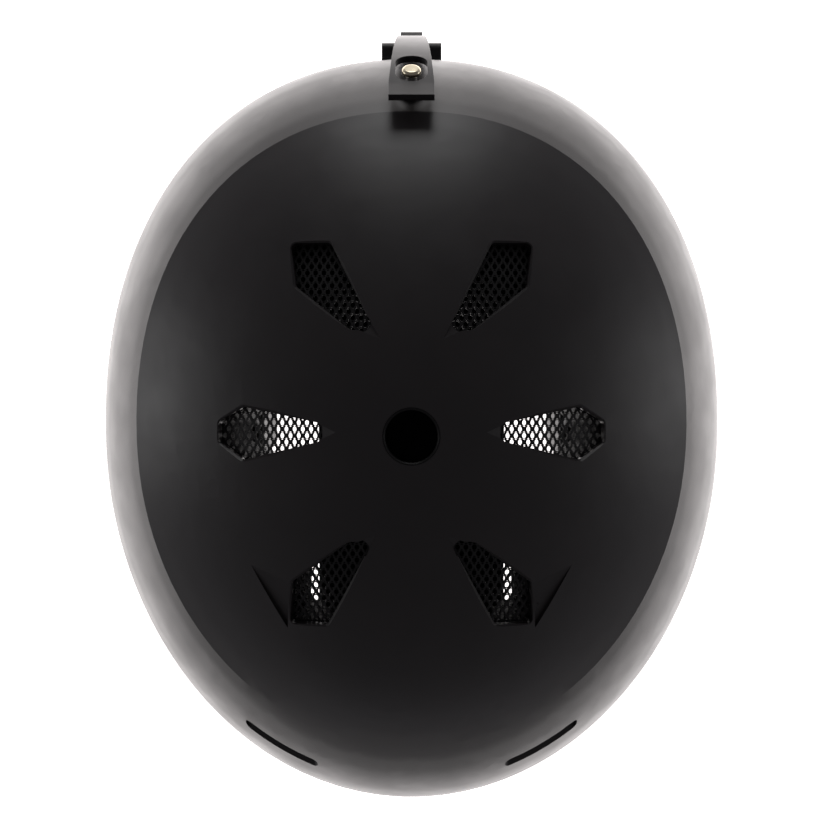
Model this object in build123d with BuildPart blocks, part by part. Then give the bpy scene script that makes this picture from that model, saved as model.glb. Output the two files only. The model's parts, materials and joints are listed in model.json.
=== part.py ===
"""Ski helmet: a hard creased shell over a foam liner, with meshed vents, soft pads, a dial-closed
rear cradle, webbing chin straps with a side-release buckle, and a goggle-strap clip at the back.

Frame, in millimetres: the origin is on the axis of the round crown vent, level with the brow edge.
+Z is up, +Y is to the rear and -Y to the front, so the wearer's left is +X.
"""

import os
from math import atan2, cos, hypot, pi, radians, sin, sqrt

from build123d import *

os.makedirs("parts", exist_ok=True)

# Outer form of the shell
SHELL_WIDTH = 228.0
FRONT_REACH = 138.6      # from the widest section forward to the brow
REAR_REACH = 136.4       # from the widest section back to the tail
WIDEST_Y = 3.6           # where the widest section stands
WIDEST_Z = 10.0          # level of the widest section
CROWN_Z = 110.0
CREASE_Z = 66.0          # level of the crease round the sides and rear
SIDE_CREASE_STEP = 16.0  # the crease stands this far inside the widest line at the sides
REAR_CREASE_STEP = 24.4  # and this far at the rear
REAR_SQUARENESS = 2.2    # exponent of the rear half of a section; the front half is an ellipse
TUCK = 0.0025            # how fast the wall draws in below the widest line, per mm

# Layers
SHELL_WALL = 3.0
CLEARANCE = 0.3          # between fitted curved layers
MESH_THICKNESS = 1.0
LINER_WALL = 21.0
PAD_THICKNESS = 6.5
TRIM_HEIGHT = 4.0
TRIM_PROUD = 0.8

# Vents
CROWN_VENT_DIAMETER = 20.0
COLLAR_WALL = 0.9
VENT_CORNER = 1.8
VENT_BEVEL = 1.5         # depth of the bevel round a vent
VENT_BEVEL_ANGLE = 38.0
RAMP_DEPTH = 1.9
MESH_MARGIN = 3.0        # seat of a vent mesh beyond the vent's edge
BROW_SLOT_HEIGHT = 5.0
BROW_SLOT_TOP = 48.0
BROW_SLOT_START = 34.0   # from the middle plane
BROW_SLOT_END = 60.0

# Ear pads
EAR_INSET = 16.0         # top of an ear pad inside the widest line
EAR_TOP_X = SHELL_WIDTH / 2 - EAR_INSET
EAR_LEAN = 13.6          # degrees inwards
EAR_WIDTH = 82.0
EAR_HEIGHT = 68.0
EAR_THICKNESS = 12.0
EAR_Y = 8.0
EAR_TOP_Z = -27.5
CARRIER_THICKNESS = 2.0
SNAP_DIAMETER = 5.0
SNAP_LENGTH = 20.0
SNAP_SPACING = 44.0

# Straps and buckle
STRAP_WIDTH = 15.0
STRAP_THICKNESS = 1.4
STRAP_GAP = 2.0          # between an ear pad and the webbing inside it
FORK_DROP = 88.0         # from the anchors down to the strap slider
ANCHOR_RISE = 12.0       # above the top of the ear pads
ANCHOR_DEPTH = 9.0       # from the head side into the liner
FRONT_ANCHOR_Y = -34.0
REAR_ANCHOR_Y = 56.0
FORK_Y = 6.0
CHIN_DROP = 82.0         # from the slider down to the run under the chin
CHIN_TILT = 38.5         # degrees that the chin loop leans forward
CHIN_CORNER = 24.0
BUCKLE_X = 22.0          # mouth of the buckle, left of the middle
BUCKLE_WIDTH = 24.0
BUCKLE_THICKNESS = 8.0
FEMALE_LENGTH = 22.0
MALE_LENGTH = 12.0
PRONG_LENGTH = 15.0

# Goggle clip
CLIP_GAP = 6.0           # space for a goggle strap between shell and lever
LEVER_THICKNESS = 2.6
LEVER_TOP_WIDTH = 16.4
LEVER_END_WIDTH = 8.2
LEVER_TOP_Z = 63.0
LEVER_TIP = 7.0          # straight run past the crease
LEVER_TAIL = 6.7         # thumb tail behind the hinge
LEVER_HOLE_WIDTH = 11.5
LEVER_HOLE_LENGTH = 19.0  # longer than wide, so the stud stands at its upper end
STUD_Z = 57.0
STUD_HEAD_DIAMETER = 7.0
CLIP_PIN_OUT = 4.8       # hinge pin beyond the widest line
CLIP_PIN_Y = WIDEST_Y + REAR_REACH + CLIP_PIN_OUT
CLIP_PIN_Z = 0.0
CLIP_PIN_DIAMETER = 2.4
PIN_CLEARANCE = 0.05
KNUCKLE_RADIUS = 3.2
CLIP_BASE_WIDTH = 22.4

# Rear fit system
DIAL_Z = -50.0
DIAL_DIAMETER = 31.0
DIAL_THICKNESS = 8.0
DIAL_FLUTES = 18
HOUSING_DIAMETER = 36.0
HOUSING_DEPTH = 8.5
DIAL_POCKET_GAP = 0.8    # air round the housing in the liner's lower edge
HOUSING_STEP = 2.9       # housing front inside the line of the cradle at its widest level
SHAFT_DIAMETER = 4.0
PINION_TEETH = 8
PINION_PITCH_RADIUS = 3.5
TOOTH_HEIGHT = 1.7
TOOTH_ROOT = 1.25
TOOTH_TIP = 0.5
BAND_THICKNESS = 1.8
BAND_BACK = 2.6          # height of the band above its teeth
CRADLE_WIDTH = 92.0
CRADLE_TOP = -13.0
CRADLE_BOTTOM = -74.0
CRADLE_WALL = 2.4
CRADLE_GAP = 6.0         # between the liner and the cradle

LEFT, RIGHT = 1, -1


def creased_reach(widest, crease_step, z, inset):
    """Reach of the creased sides or rear at height z, on the layer `inset` inside the shell."""
    widest_here = widest - inset
    crease_here = widest - crease_step - 0.8 * inset
    crease_z = CREASE_Z - 0.7 * inset
    crown_z = CROWN_Z - inset
    if z <= WIDEST_Z:
        return widest_here - TUCK * (WIDEST_Z - z) ** 2
    if z <= crease_z:
        return widest_here - (widest_here - crease_here) * ((z - WIDEST_Z) / (crease_z - WIDEST_Z)) ** 2
    return crease_here * sqrt(max(crown_z - z, 0.0) / (crown_z - crease_z))


def smooth_reach(z, inset):
    """Reach of the uncreased front, a quarter ellipse above the widest line."""
    widest_here = FRONT_REACH - inset
    if z <= WIDEST_Z:
        return widest_here - TUCK * (WIDEST_Z - z) ** 2
    return widest_here * sqrt(max(1 - ((z - WIDEST_Z) / (CROWN_Z - inset - WIDEST_Z)) ** 2, 0.0))


def section_radius(angle, z, inset):
    """Distance from the widest section's middle to the layer, in one direction at one height."""
    half_width = creased_reach(SHELL_WIDTH / 2, SIDE_CREASE_STEP, z, inset)
    if sin(angle) > 0:
        reach = creased_reach(REAR_REACH, REAR_CREASE_STEP, z, inset)
        power = REAR_SQUARENESS
    else:
        reach = smooth_reach(z, inset)
        power = 2.0
    return (abs(cos(angle) / half_width) ** power + abs(sin(angle) / reach) ** power) ** (-1 / power)


def section_points(z, inset, count=28):
    """Points round one level section of a layer."""
    angles = [2 * pi * i / count for i in range(count)]
    radii = [section_radius(angle, z, inset) for angle in angles]
    return [(r * cos(a), WIDEST_Y + r * sin(a)) for r, a in zip(radii, angles)]


def helmet_form(inset, bottom=-52.0):
    """Solid up to the layer `inset` inside the outer surface, creased where the dome meets the band."""
    crease_z = CREASE_Z - 0.7 * inset
    crown_z = CROWN_Z - inset
    band = crease_z - WIDEST_Z
    steps = round((WIDEST_Z - bottom) / 16)
    low_levels = [bottom + (WIDEST_Z - bottom) * i / steps for i in range(steps)]
    low_levels += [WIDEST_Z + band * share for share in (0, 0.35, 0.65, 0.9, 1)]
    shares = (1, 0.95, 0.82, 0.65, 0.46, 0.28, 0.14, 0.05)
    high_levels = [crown_z - (crown_z - crease_z) * t * t for t in shares]
    with BuildPart() as form:
        for levels in (low_levels, high_levels):
            for z in levels:
                with BuildSketch(Plane.XY.offset(z)):
                    with BuildLine():
                        Spline(*section_points(z, inset), periodic=True)
                    make_face()
            loft()
    return form.part


def surface_z(x, y, inset=0.0):
    """Height of a layer above a point of the plan."""
    angle = atan2(y - WIDEST_Y, x)
    radius = hypot(x, y - WIDEST_Y)
    low, high = WIDEST_Z, CROWN_Z - inset
    for _ in range(50):
        middle = (low + high) / 2
        if section_radius(angle, min(middle, CROWN_Z - inset - 1e-6), inset) > radius:
            low = middle
        else:
            high = middle
    return low


def surface_plane(x, y):
    """Plane tangent to the shell above a point of the plan."""
    step = 0.5
    slope_x = (surface_z(x + step, y) - surface_z(x - step, y)) / (2 * step)
    slope_y = (surface_z(x, y + step) - surface_z(x, y - step)) / (2 * step)
    return Plane(origin=(x, y, surface_z(x, y)), x_dir=(1, 0, slope_x), z_dir=(-slope_x, -slope_y, 1))


def on_plane(plane, x, y):
    """A point of the plan dropped vertically on a tilted plane, in the plane's own coordinates."""
    n, o = plane.z_dir, plane.origin
    z = o.Z - (n.X * (x - o.X) + n.Y * (y - o.Y)) / n.Z
    local = plane.to_local_coords(Vector(x, y, z))
    return (local.X, local.Y)


# Side outline of the lower edge: level at the brow, lower over the ears and lowest at the nape.
RIM_POINTS = [(-175, 0), (-100, 0), (-62, -6), (-30, -19), (45, -24), (85, -33), (175, -42)]


def above_rim(lift):
    """Everything above the lower edge, raised by `lift`."""
    top = CROWN_Z + 40
    points = [(y, z + lift) for y, z in RIM_POINTS]
    with BuildPart() as block:
        with BuildSketch(Plane.YZ):
            with BuildLine():
                Spline(*points)
                Polyline(points[-1], (points[-1][0], top), (points[0][0], top), points[0])
            make_face()
        extrude(amount=SHELL_WIDTH, both=True)
    return block.part


# Vent outlines in plan, as distances from the middle plane and along Y, for one side.
VENTS = {
    "front": [(42.8, -66.0), (29.5, -66.0), (15.0, -39.0), (17.0, -36.6), (22.0, -36.9), (41.8, -51.0)],
    "mid": [(32.0, 4.5), (59.0, 10.2), (68.0, 5.2), (68.0, -2.0), (59.0, -8.2), (32.0, -1.7)],
    "rear": [(42.5, 67.8), (28.5, 67.8), (14.4, 39.5), (16.6, 36.8), (21.4, 37.1), (40.5, 52.5)],
}
VENT_CENTRES = {"front": (31.0, -52.0), "mid": (52.0, 1.2), "rear": (31.0, 53.0)}
# Sunken ramps beside the vents: a tip on the surface, then the two corners that lie deepest.
RAMPS = {
    "front": [[(12.0, -34.0), (15.2, -40.5), (23.5, -37.6)], [(56.0, -45.0), (41.5, -50.5), (42.8, -66.5)]],
    "mid": [[(26.0, 1.4), (33.0, 5.2), (33.0, -2.4)]],
    "rear": [[(10.7, 33.4), (14.6, 40.5), (23.0, 38.2)]],
}


def vent_prism(name, side, grow, low, high, taper=0.0):
    """A vent's outline on its tangent plane, grown all round and extruded through the layers."""
    plane = surface_plane(side * VENT_CENTRES[name][0], VENT_CENTRES[name][1])
    corners = [on_plane(plane, side * x, y) for x, y in VENTS[name]]
    with BuildPart() as prism:
        with BuildSketch(plane.offset(low)) as outline:
            with BuildLine():
                Polyline(*corners, close=True)
            make_face()
            fillet(outline.vertices(), radius=VENT_CORNER)
            if grow:
                offset(amount=grow, kind=Kind.ARC)
        extrude(amount=high - low, taper=taper)
    return prism.part


def ramp_cut(points, side):
    """The space above a facet that dips from its tip on the surface to RAMP_DEPTH at its far corners."""
    tip, near, far = [Vector(side * x, y, surface_z(x, y)) for x, y in points]
    near -= Vector(0, 0, RAMP_DEPTH)
    far -= Vector(0, 0, RAMP_DEPTH)
    normal = (near - tip).cross(far - tip).normalized()
    if normal.Z < 0:
        normal = -normal
    plane = Plane(origin=tip, x_dir=(near - tip), z_dir=normal)
    corners = [plane.to_local_coords(p) for p in (tip, near, far)]
    with BuildPart() as cut:
        with BuildSketch(plane):
            with BuildLine():
                Polyline(*[(p.X, p.Y) for p in corners], close=True)
            make_face()
        extrude(amount=12)
    return cut.part


def brow_block(side, grow, depth_front, depth_back):
    """Block through a brow slot, grown all round, between two distances ahead of the middle."""
    middle_x = side * (BROW_SLOT_START + BROW_SLOT_END) / 2
    middle_z = BROW_SLOT_TOP - BROW_SLOT_HEIGHT / 2
    with BuildPart() as block:
        with BuildSketch(Plane.XZ.offset(depth_back)):
            with Locations((middle_x, middle_z)):
                RectangleRounded(BROW_SLOT_END - BROW_SLOT_START + 2 * grow, BROW_SLOT_HEIGHT + 2 * grow, 2.0)
        extrude(amount=depth_front - depth_back)
    return block.part


def rear_point(z, out):
    """A point of the middle plane `out` beyond the rear of the shell, as (y, z)."""
    step = 0.01
    reach = creased_reach(REAR_REACH, REAR_CREASE_STEP, z, 0)
    slope = (creased_reach(REAR_REACH, REAR_CREASE_STEP, z - step, 0) - reach) / step
    length = hypot(1, slope)
    return (WIDEST_Y + reach + out / length, z + out * slope / length)


def rear_plane(z):
    """Plane square to the rear of the shell in the middle plane, facing outwards."""
    y0, z0 = rear_point(z, 0)
    y1, z1 = rear_point(z, 1)
    return Plane(origin=(0, y0, z0), x_dir=(1, 0, 0), z_dir=(0, y1 - y0, z1 - z0))


def save(name, part):
    part.label = name
    export_step(part, f"parts/{name}.step")


# Layers that several pieces share
mesh_outside = SHELL_WALL + CLEARANCE
mesh_inside = mesh_outside + MESH_THICKNESS
pocket_inside = mesh_inside + CLEARANCE
liner_inside = mesh_outside + LINER_WALL
housing_front_y = WIDEST_Y + REAR_REACH - liner_inside - CRADLE_GAP - HOUSING_STEP
pad_outside = liner_inside + CLEARANCE
pad_inside = pad_outside + PAD_THICKNESS

shell_outer_form = helmet_form(0)
shell_inner_form = helmet_form(SHELL_WALL)
trim_form = helmet_form(-TRIM_PROUD)
liner_outer_form = helmet_form(mesh_outside)
mesh_inner_form = helmet_form(mesh_inside)
pocket_form = helmet_form(pocket_inside)
liner_inner_form = helmet_form(liner_inside)
pad_outer_form = helmet_form(pad_outside)
pad_inner_form = helmet_form(pad_inside)
rim_block = above_rim(0)
shell_block = above_rim(TRIM_HEIGHT)
liner_block = above_rim(TRIM_HEIGHT - 1)

stud_plane = rear_plane(STUD_Z)
RIVET_X = CLIP_BASE_WIDTH / 2 - 2.8
RIVET_Z = CLIP_PIN_Z - 8.0
RIVET_DIAMETER = 3.0
STUD_STEM_DIAMETER = 4.0

# Outer shell, moulded ABS
with BuildPart() as outer_shell:
    add(shell_outer_form)
    add(shell_inner_form, mode=Mode.SUBTRACT)
    add(shell_block, mode=Mode.INTERSECT)
    for side in (LEFT, RIGHT):
        for vent in VENTS:
            add(vent_prism(vent, side, 0, -25, 20), mode=Mode.SUBTRACT)
            add(vent_prism(vent, side, 0, -VENT_BEVEL, 8, taper=-VENT_BEVEL_ANGLE), mode=Mode.SUBTRACT)
            for ramp in RAMPS[vent]:
                add(ramp_cut(ramp, side), mode=Mode.SUBTRACT)
        add(brow_block(side, 0, 150, 60), mode=Mode.SUBTRACT)
    with Locations((0, 0, CROWN_Z)):
        Cylinder(CROWN_VENT_DIAMETER / 2, 40, mode=Mode.SUBTRACT)
    with Locations(stud_plane):
        Cylinder(STUD_STEM_DIAMETER / 2, 20, mode=Mode.SUBTRACT)
    with Locations(Plane.XZ):
        with Locations(*[(side * RIVET_X, RIVET_Z) for side in (LEFT, RIGHT)]):
            with Locations((0, 0, -REAR_REACH)):
                Cylinder(RIVET_DIAMETER / 2 + PIN_CLEARANCE, 40, mode=Mode.SUBTRACT)
save("outer_shell", outer_shell.part)

# Edge trim, a moulded strip that closes the shell's lower edge
with BuildPart() as rim_trim:
    add(trim_form)
    add(shell_inner_form, mode=Mode.SUBTRACT)
    add(rim_block, mode=Mode.INTERSECT)
    add(above_rim(TRIM_HEIGHT - 0.1), mode=Mode.SUBTRACT)
save("rim_trim", rim_trim.part)

# Vent meshes and brow inserts sit in shallow pockets between shell and liner
mesh_prisms = {}
pocket_prisms = []
for vent in VENTS:
    for side in (LEFT, RIGHT):
        mesh_prisms[vent, side] = vent_prism(vent, side, MESH_MARGIN, -25, 20)
        pocket_prisms.append(vent_prism(vent, side, MESH_MARGIN + CLEARANCE, -25, 20))
for side in (LEFT, RIGHT):
    mesh_prisms["brow", side] = brow_block(side, MESH_MARGIN, 150, 60)
    pocket_prisms.append(brow_block(side, MESH_MARGIN + CLEARANCE, 150, 60))

for name in ("front", "mid", "rear", "brow"):
    with BuildPart() as vent_mesh:
        for side in (LEFT, RIGHT):
            add(mesh_prisms[name, side])
        add(liner_outer_form, mode=Mode.INTERSECT)
        add(mesh_inner_form, mode=Mode.SUBTRACT)
    save("brow_vent_inserts" if name == "brow" else f"{name}_vent_meshes", vent_mesh.part)

# Foam liner, with the vent channels, mesh pockets and snap sockets
with BuildPart() as mesh_pockets:
    for prism in pocket_prisms:
        add(prism)
    add(shell_inner_form, mode=Mode.INTERSECT)
    add(pocket_form, mode=Mode.SUBTRACT)

ear_plane = {}
for side in (LEFT, RIGHT):
    lean = radians(EAR_LEAN)
    outward = (side * cos(lean), 0, -sin(lean))
    ear_plane[side] = Plane(origin=(side * EAR_TOP_X, EAR_Y, EAR_TOP_Z), x_dir=(0, side, 0), z_dir=outward)

SNAP_X = EAR_TOP_X + 2.0
snap_places = [
    (side * SNAP_X, EAR_Y + dy) for side in (LEFT, RIGHT) for dy in (-SNAP_SPACING / 2, SNAP_SPACING / 2)
]
with BuildPart() as eps_liner:
    add(liner_outer_form)
    add(liner_inner_form, mode=Mode.SUBTRACT)
    add(liner_block, mode=Mode.INTERSECT)
    add(mesh_pockets.part, mode=Mode.SUBTRACT)
    for side in (LEFT, RIGHT):
        for vent in VENTS:
            add(vent_prism(vent, side, 0, -45, 20), mode=Mode.SUBTRACT)
    with Locations((0, 0, CROWN_Z)):
        Cylinder(CROWN_VENT_DIAMETER / 2 + PIN_CLEARANCE, 80, mode=Mode.SUBTRACT)
    with BuildSketch(Plane.XY.offset(EAR_TOP_Z)):
        with Locations(*snap_places):
            Circle(SNAP_DIAMETER / 2 + 0.1)
    extrude(amount=SNAP_LENGTH + 2.0, mode=Mode.SUBTRACT)
    with BuildSketch(Plane.XZ.offset(-housing_front_y + 1.0)):
        with Locations((0, DIAL_Z)):
            Circle(HOUSING_DIAMETER / 2 + DIAL_POCKET_GAP)
    extrude(amount=-(HOUSING_DEPTH + DIAL_THICKNESS + 3.0), mode=Mode.SUBTRACT)
save("eps_liner", eps_liner.part)

# Collar that lines the crown vent
collar_radius = CROWN_VENT_DIAMETER / 2 - PIN_CLEARANCE
collar_top = CROWN_Z - 1.4
collar_bottom = CROWN_Z - pad_outside + CLEARANCE
with BuildPart() as crown_vent_collar:
    with BuildSketch(Plane.XY.offset(collar_bottom)):
        Circle(collar_radius)
        Circle(collar_radius - COLLAR_WALL, mode=Mode.SUBTRACT)
    extrude(amount=collar_top - collar_bottom)
    chamfer(crown_vent_collar.edges().group_by(Axis.Z)[-1].sort_by(SortBy.LENGTH)[0], length=0.5)
save("crown_vent_collar", crown_vent_collar.part)

# Comfort pads inside the liner: (low corner, high corner) of the space that each one fills
PAD_BLOCKS = {
    "crown_pad": ((-34, -64, 40), (34, 28, 120)),
    "rear_crown_pad": ((-48, 31, 37), (48, 80, 120)),
    "brow_pad": ((-70, -150, 6), (70, -52, 38)),
    "rear_pad": ((-55, 60, -6), (55, 150, 34)),
    "temple_pad_left": ((50, -46, 2), (130, 28, 62)),
    "temple_pad_right": ((-130, -46, 2), (-50, 28, 62)),
}
for name, (low, high) in PAD_BLOCKS.items():
    with BuildPart() as comfort_pad:
        with Locations(tuple((a + b) / 2 for a, b in zip(low, high))):
            Box(*[b - a for a, b in zip(low, high)])
        add(pad_outer_form, mode=Mode.INTERSECT)
        add(pad_inner_form, mode=Mode.SUBTRACT)
    save(name, comfort_pad.part)

# Ear pads on their plastic carriers, which snap up into the liner
for side, word in ((LEFT, "left"), (RIGHT, "right")):
    with BuildPart() as ear_pad:
        with BuildSketch(ear_plane[side].offset(-EAR_THICKNESS - CARRIER_THICKNESS)):
            with Locations((0, -EAR_HEIGHT / 2)):
                RectangleRounded(EAR_WIDTH, EAR_HEIGHT, 22)
        extrude(amount=EAR_THICKNESS - 0.1)
    with BuildPart() as carrier:
        with BuildSketch(ear_plane[side].offset(-CARRIER_THICKNESS)):
            with Locations((0, -EAR_HEIGHT / 2 + 3)):
                RectangleRounded(EAR_WIDTH - 12, EAR_HEIGHT - 14, 14)
        extrude(amount=CARRIER_THICKNESS)
        with BuildSketch(Plane.XY.offset(EAR_TOP_Z)):
            with Locations(*[(x, y) for x, y in snap_places if x * side > 0]):
                Circle(SNAP_DIAMETER / 2)
        extrude(amount=SNAP_LENGTH)
        with BuildSketch(Plane.XY.offset(EAR_TOP_Z - 2)):
            with Locations((side * SNAP_X, EAR_Y)):
                RectangleRounded(8, SNAP_SPACING + 10, 2)
        extrude(amount=2.2)
    save(f"ear_pad_{word}", ear_pad.part)
    save(f"ear_pad_carrier_{word}", carrier.part)

# Webbing fork on each side: two straps from the liner's edge meet in a slider below the ear
strap_offset = -(EAR_THICKNESS + CARRIER_THICKNESS + STRAP_GAP + STRAP_THICKNESS)


def strap_strip(plane, start, end):
    """Flat webbing between two points of a plane."""
    length = hypot(end[0] - start[0], end[1] - start[1])
    turn = atan2(end[1] - start[1], end[0] - start[0]) * 180 / pi
    with BuildPart() as strip:
        with BuildSketch(plane):
            with Locations(Location(((start[0] + end[0]) / 2, (start[1] + end[1]) / 2), turn)):
                Rectangle(length, STRAP_WIDTH)
        extrude(amount=STRAP_THICKNESS)
    return strip.part


fork_point = {}
for side, word in ((LEFT, "left"), (RIGHT, "right")):
    plane = ear_plane[side].offset(strap_offset)
    fork = (side * (FORK_Y - EAR_Y), -FORK_DROP)
    fork_point[side] = plane.from_local_coords(Vector(fork[0], fork[1], STRAP_THICKNESS / 2))
    for name, anchor_y, reach_in in (("front", FRONT_ANCHOR_Y, -5.0), ("rear", REAR_ANCHOR_Y, 5.0)):
        anchor = (side * (anchor_y - EAR_Y), ANCHOR_RISE)
        layer = plane.offset(0 if name == "front" else -STRAP_THICKNESS - 0.1)
        strap = strap_strip(layer, anchor, (fork[0] + side * reach_in * 0.6, fork[1] + 9))
        save(f"{name}_strap_{word}", strap)
        with BuildPart() as strap_anchor:
            with BuildSketch(layer.offset(-1.2)):
                with Locations((anchor[0], ANCHOR_RISE)):
                    RectangleRounded(STRAP_WIDTH + 7, 11, 2.5)
            extrude(amount=ANCHOR_DEPTH)
        save(f"{name}_strap_anchor_{word}", strap_anchor.part)
    with BuildPart() as slider:
        with BuildSketch(plane.offset(-2.6)):
            with Locations(fork):
                RectangleRounded(STRAP_WIDTH + 9, 22, 4)
        extrude(amount=STRAP_THICKNESS + 4.4)
        chamfer(slider.edges().filter_by(GeomType.LINE).group_by(SortBy.LENGTH)[-1], length=0.8)
    save(f"strap_slider_{word}", slider.part)

# Chin loop: one leaning plane holds the whole U of webbing, which is extruded across its width
tilt = radians(CHIN_TILT)
fork_x = fork_point[LEFT].X
chin_plane = Plane(
    origin=(0, fork_point[LEFT].Y, fork_point[LEFT].Z), x_dir=(1, 0, 0), z_dir=(0, cos(tilt), -sin(tilt))
)
female_start = BUCKLE_X - FEMALE_LENGTH
male_end = BUCKLE_X + MALE_LENGTH
# the left strap belongs to the part that pulls out, so it starts clear of its slider
for word, side, start, end_x in (("left", LEFT, 18.0, male_end - 5), ("right", RIGHT, 2.0, female_start + 5)):
    with BuildPart() as lower_strap:
        with BuildSketch(chin_plane):
            with BuildLine():
                FilletPolyline(
                    (side * fork_x, start),
                    (side * (fork_x - 4), CHIN_DROP),
                    (end_x, CHIN_DROP),
                    radius=CHIN_CORNER,
                )
            trace(line_width=STRAP_THICKNESS)
        extrude(amount=STRAP_WIDTH / 2, both=True)
    save(f"lower_strap_{word}", lower_strap.part)

# Side-release buckle. Its own plane is the chin plane; its length runs along X.
half_buckle = BUCKLE_THICKNESS / 2
cavity_half = half_buckle - 1.4
prong_half = cavity_half - CLEARANCE
prong_width = 4.2
prong_outer = BUCKLE_WIDTH / 2 - 0.4
with BuildPart() as buckle_female:
    with BuildSketch(chin_plane.offset(-BUCKLE_WIDTH / 2)):
        with Locations(((female_start + BUCKLE_X) / 2, CHIN_DROP)):
            RectangleRounded(FEMALE_LENGTH, BUCKLE_THICKNESS, 2.0)
    extrude(amount=BUCKLE_WIDTH)
    with BuildSketch(chin_plane.offset(-BUCKLE_WIDTH / 2 - 1)):
        with Locations((BUCKLE_X, CHIN_DROP)):
            Rectangle(2 * (PRONG_LENGTH + 1), 2 * cavity_half)
    extrude(amount=BUCKLE_WIDTH + 2, mode=Mode.SUBTRACT)
save("buckle_female", buckle_female.part)

with BuildPart() as buckle_male:
    with BuildSketch(chin_plane.offset(-BUCKLE_WIDTH / 2)):
        with Locations(((BUCKLE_X + CLEARANCE + male_end) / 2, CHIN_DROP)):
            RectangleRounded(MALE_LENGTH - CLEARANCE, BUCKLE_THICKNESS, 2.0)
    extrude(amount=BUCKLE_WIDTH)
    with BuildSketch(chin_plane.offset(-2.2)):
        with Locations((BUCKLE_X - PRONG_LENGTH / 2 + 2, CHIN_DROP)):
            Rectangle(PRONG_LENGTH, 2 * prong_half)
    extrude(amount=4.4)
save("buckle_male", buckle_male.part)

for word, sign in (("front", -1), ("rear", 1)):
    with BuildPart() as prong:
        with BuildSketch(chin_plane.offset(sign * prong_outer - (prong_width if sign > 0 else 0))):
            with Locations((BUCKLE_X - PRONG_LENGTH / 2, CHIN_DROP)):
                RectangleRounded(PRONG_LENGTH - 0.4, 2 * prong_half, 1.2)
        extrude(amount=prong_width)
    save(f"buckle_prong_{word}", prong.part)

# Soft chin pad on the head side of the webbing, right of the buckle
pad_middle_x = female_start - 19
with BuildPart() as chin_pad:
    with BuildSketch(chin_plane.offset(-12)):
        with Locations((pad_middle_x, CHIN_DROP - STRAP_THICKNESS / 2 - 0.1 - 3.0)):
            RectangleRounded(32, 6, 2.5)
    extrude(amount=24)
save("chin_pad", chin_pad.part)

# Goggle clip: base on the shell, lever on a pin, and a snap stud that holds the lever closed
with BuildPart() as goggle_clip_base:
    with Locations((0, REAR_REACH, CLIP_PIN_Z - 3)):
        Box(CLIP_BASE_WIDTH, 30, 18)
    add(helmet_form(-1.6), mode=Mode.INTERSECT)
    add(helmet_form(-0.2), mode=Mode.SUBTRACT)
    ear_inner = LEVER_END_WIDTH / 2 + CLEARANCE
    for side in (LEFT, RIGHT):
        with BuildSketch(Plane.YZ.offset(side * (ear_inner + CLIP_BASE_WIDTH / 2) / 2)):
            with Locations((CLIP_PIN_Y, CLIP_PIN_Z)):
                Circle(2.7)
            with Locations((CLIP_PIN_Y - 1.9, CLIP_PIN_Z)):
                Rectangle(3.8, 5.4)
        extrude(amount=(CLIP_BASE_WIDTH / 2 - ear_inner) / 2, both=True)
    with BuildSketch(Plane.YZ):
        with Locations((CLIP_PIN_Y, CLIP_PIN_Z)):
            Circle(CLIP_PIN_DIAMETER / 2 + PIN_CLEARANCE)
    extrude(amount=CLIP_BASE_WIDTH, both=True, mode=Mode.SUBTRACT)
    with Locations(Plane.XZ):
        with Locations(*[(side * RIVET_X, RIVET_Z) for side in (LEFT, RIGHT)]):
            with Locations((0, 0, -REAR_REACH)):
                Cylinder(RIVET_DIAMETER / 2 + PIN_CLEARANCE, 40, mode=Mode.SUBTRACT)
save("goggle_clip_base", goggle_clip_base.part)

rivet_y = rear_point(RIVET_Z, 0)[0]
with BuildPart() as clip_rivets:
    for side in (LEFT, RIGHT):
        with BuildSketch(Plane.XZ.offset(-rivet_y + 2.6)):
            with Locations((side * RIVET_X, RIVET_Z)):
                Circle(RIVET_DIAMETER / 2)
        extrude(amount=-4.4)
        with BuildSketch(Plane.XZ.offset(-rivet_y - 1.8)):
            with Locations((side * RIVET_X, RIVET_Z)):
                Circle(RIVET_DIAMETER / 2 + 0.9)
        extrude(amount=-0.9)
save("goggle_clip_rivets", clip_rivets.part)

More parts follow.
